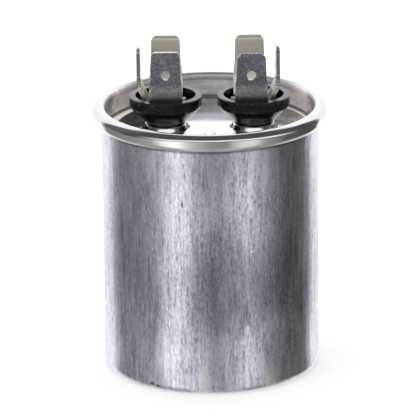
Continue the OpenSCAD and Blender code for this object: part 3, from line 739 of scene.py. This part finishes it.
# ------------------------------------------------------------------ the rivets
# Tin-plated brass rivets clamp each terminal, bushing, lid, seal, insulator and lug together. They share the
# terminals' finish.
for side in ("left", "right"):
    refinish(side + "_rivet", tin_plate)

# ------------------------------------------------------------------ the parts inside the can
# Sealing compound, rubber seals, moulded insulators, brass lugs, the film winding with its sprayed ends, and
# the board, tape and wires round it. The can and the lid hide all of them, so each finish is a plain one.


def plain_finish(name, low, high, roughness, metallic=0.0, scale=300.0, depth=0.03):
    """A quiet two-tone finish: cloudy noise moves the colour, the gloss and the height together."""
    material, place = new_finish(name)
    cloud = place.noise(scale, 3, 0.6)
    rough = roughness - 0.05 + 0.1 * cloud
    return shade(material, place, cloud.tint(low, high), rough, metallic, cloud, depth)


inner_finishes = {
    "seam_compound": plain_finish("sealing_compound", (0.05, 0.05, 0.05), (0.09, 0.09, 0.09), 0.7),
    "left_seal right_seal": plain_finish("rubber_seal", (0.02, 0.02, 0.02), (0.04, 0.04, 0.04), 0.6),
    "left_inner_insulator right_inner_insulator": plain_finish(
        "moulded_insulator", (0.55, 0.44, 0.25), (0.66, 0.55, 0.34), 0.5),
    "left_lug right_lug": plain_finish("plain_brass", (0.62, 0.48, 0.22), (0.74, 0.6, 0.3), 0.3, 1.0),
    "hold_down_cup": plain_finish("moulded_cup", (0.66, 0.65, 0.58), (0.74, 0.73, 0.66), 0.45),
    "winding": plain_finish("wound_film", (0.55, 0.53, 0.45), (0.68, 0.66, 0.58), 0.35, 0.0, 900.0),
    "core_tube": plain_finish("core_board", (0.14, 0.10, 0.06), (0.2, 0.15, 0.09), 0.8),
    "top_end_spray bottom_end_spray": plain_finish(
        "sprayed_metal", (0.42, 0.42, 0.42), (0.56, 0.56, 0.56), 0.6, 1.0, 1500.0, 0.1),
    "outer_wrap": plain_finish("wrap_tape", (0.66, 0.56, 0.26), (0.76, 0.66, 0.36), 0.3),
    "liner": plain_finish("pressboard", (0.42, 0.32, 0.17), (0.52, 0.41, 0.23), 0.8, 0.0, 700.0),
    "top_lead bottom_lead": plain_finish("tinned_wire", (0.62, 0.62, 0.6), (0.76, 0.76, 0.74), 0.3, 1.0),
    "lead_sleeve": plain_finish("sleeve", (0.45, 0.04, 0.03), (0.55, 0.06, 0.04), 0.4),
}
for names, material in inner_finishes.items():
    for node in names.split():
        refinish(node, material)

# ------------------------------------------------------------------ the table, the light and the camera
# A pale table, soft boxes above and to the left, and a white surround. What metal mirrors is the studio round
# it: a white backdrop behind, a grey card on the left and a dark one on the right, pale patches to the front
# left and the front right, a dim room above and one bright strip light up in front.
TABLE_HALF = 4000
TABLE_Z = -0.05

table_corners = TABLE_HALF * np.array([[-1, -1, 0], [1, -1, 0], [1, 1, 0], [-1, 1, 0]]) + [0, 0, TABLE_Z]
floor = make_piece("table", table_corners, [[0, 1, 2, 3]])
table_top, place = new_finish("table_top")
rays = place.tree.nodes.new("ShaderNodeLightPath")
to_camera = Wire(place.tree, rays.outputs["Is Camera Ray"])
matt = place.node("ShaderNodeBsdfDiffuse", {}, {"Color": (0.9, 0.9, 0.9, 1)})
white = place.node("ShaderNodeEmission", {}, {"Color": (1, 1, 1, 1), "Strength": 1.0})
seen = place.node("ShaderNodeMixShader", {}, {0: 0.6 * to_camera, 1: matt, 2: white})
end_in("ShaderNodeOutputMaterial", seen)
floor.data.materials.append(table_top)
floor.visible_glossy = False

# Bearings are degrees from the front, positive to the right, and rising is degrees above the horizon.
DIM_ROOM = 0.09

world = bpy.data.worlds.new("white_surround")
world.use_nodes = True
world.node_tree.nodes.clear()
bpy.context.scene.world = world
tree = world.node_tree
look = Wire(tree, tree.nodes.new("ShaderNodeTexCoord").outputs["Generated"])
look_x, look_y, look_z = look.axes()
bearing = look.math("ARCTAN2", look_x, 0.0 - look_y) * (180 / math.pi)
rising = look.math("ARCSINE", look_z) * (180 / math.pi)


def greys(degrees, low, high, stops):
    """Brightness on a scale of degrees from low to high, through stops of (degrees, brightness up to 2)."""
    span = high - low
    stops = [((degree - low) / span, (bright / 2,) * 3) for degree, bright in stops]
    share = (degrees - low) / span
    return 2 * share.node("ShaderNodeValToRGB", {"stops": stops}, {0: share})


round_about = greys(bearing, -180, 180, [
    (-180, 1.2), (-131, 1.2), (-121, 0.25), (-105, 0.24), (-75, 0.30), (-58, 0.42), (-46, 1.05),
    (-34, 1.30), (-20, 0.64), (0, 0.30), (16, 0.28), (30, 0.74), (42, 0.84), (56, 0.34), (80, 0.11),
    (110, 0.08), (126, 0.12), (134, 1.2), (180, 1.2)])
beside = abs(bearing)
left_card = bearing.rise(-70, -85) * bearing.rise(-131, -124) * rising.rise(-8, 4)
low = round_about * (1 - 0.4 * left_card)
under = 0.26 + 0.38 * round_about
under = under + beside.rise(106, 126) * rising.rise(-66, -50) * (0.7 - under)
low = low + rising.rise(-24, -42) * (under - low)
arch = rising + 0.5 * look.math("MAXIMUM", beside - 25, 0.0)
strip_light = greys(arch, 0, 90, [
    (0, DIM_ROOM), (30, DIM_ROOM), (34, 1.15), (46, 1.15), (52, DIM_ROOM), (90, DIM_ROOM)])
lit = bearing.rise(-82, -42) * bearing.rise(98, 62)
front = low + arch.rise(24, 29) * (DIM_ROOM + lit * (strip_light - DIM_ROOM) - low)
ceiling = low + rising.rise(43, 58) * (DIM_ROOM - low)
studio = ceiling + beside.rise(100, 88) * (front - ceiling)
rays = tree.nodes.new("ShaderNodeLightPath")
to_camera = Wire(tree, rays.outputs["Is Camera Ray"])
to_metal = Wire(tree, rays.outputs["Is Glossy Ray"])
strength = to_camera + to_metal * studio + (1 - to_camera) * (1 - to_metal) * 0.85
surround = look.node("ShaderNodeBackground", {}, {"Color": (1, 1, 1, 1), "Strength": strength})
end_in("ShaderNodeOutputWorld", surround)


def soft_box(name, place, target, width, depth, power):
    """A rectangular soft light at a place in metres, facing a target."""
    lamp = bpy.data.lights.new(name, "AREA")
    lamp.shape = "RECTANGLE"
    lamp.size = width
    lamp.size_y = depth
    lamp.energy = power
    box = bpy.data.objects.new(name, lamp)
    aim = (Vector(target) - Vector(place)).to_track_quat("-Z", "Y")
    box.matrix_world = Matrix.Translation(place) @ aim.to_matrix().to_4x4()
    box.visible_glossy = False
    bpy.context.scene.collection.objects.link(box)


soft_box("overhead_box", (0.0, 0.15, 0.9), (0, 0, 0.03), 0.7, 0.5, 6)
soft_box("left_box", (-0.7, -0.5, 0.6), (0, 0, 0.04), 0.4, 0.5, 3)

# Where the camera stands and what it looks at, in metres, and its roll in degrees.
CAMERA_AT = Vector((0, -1.01286, 0.36428))
CAMERA_AIM = Vector((-0.00062, 0, 0.0356))
CAMERA_ROLL = -0.675

camera_data = bpy.data.cameras.new("camera")
camera_data.sensor_width = 36
camera_data.lens = 414.93
camera_data.clip_start = 0.05
camera_data.clip_end = 20
camera = bpy.data.objects.new("camera", camera_data)
aim = (CAMERA_AIM - CAMERA_AT).to_track_quat("-Z", "Y")
roll = Matrix.Rotation(math.radians(CAMERA_ROLL), 4, "Z")
camera.matrix_world = Matrix.Translation(CAMERA_AT) @ aim.to_matrix().to_4x4() @ roll
bpy.context.scene.collection.objects.link(camera)
bpy.context.scene.camera = camera
bpy.context.scene.view_settings.view_transform = "Standard"
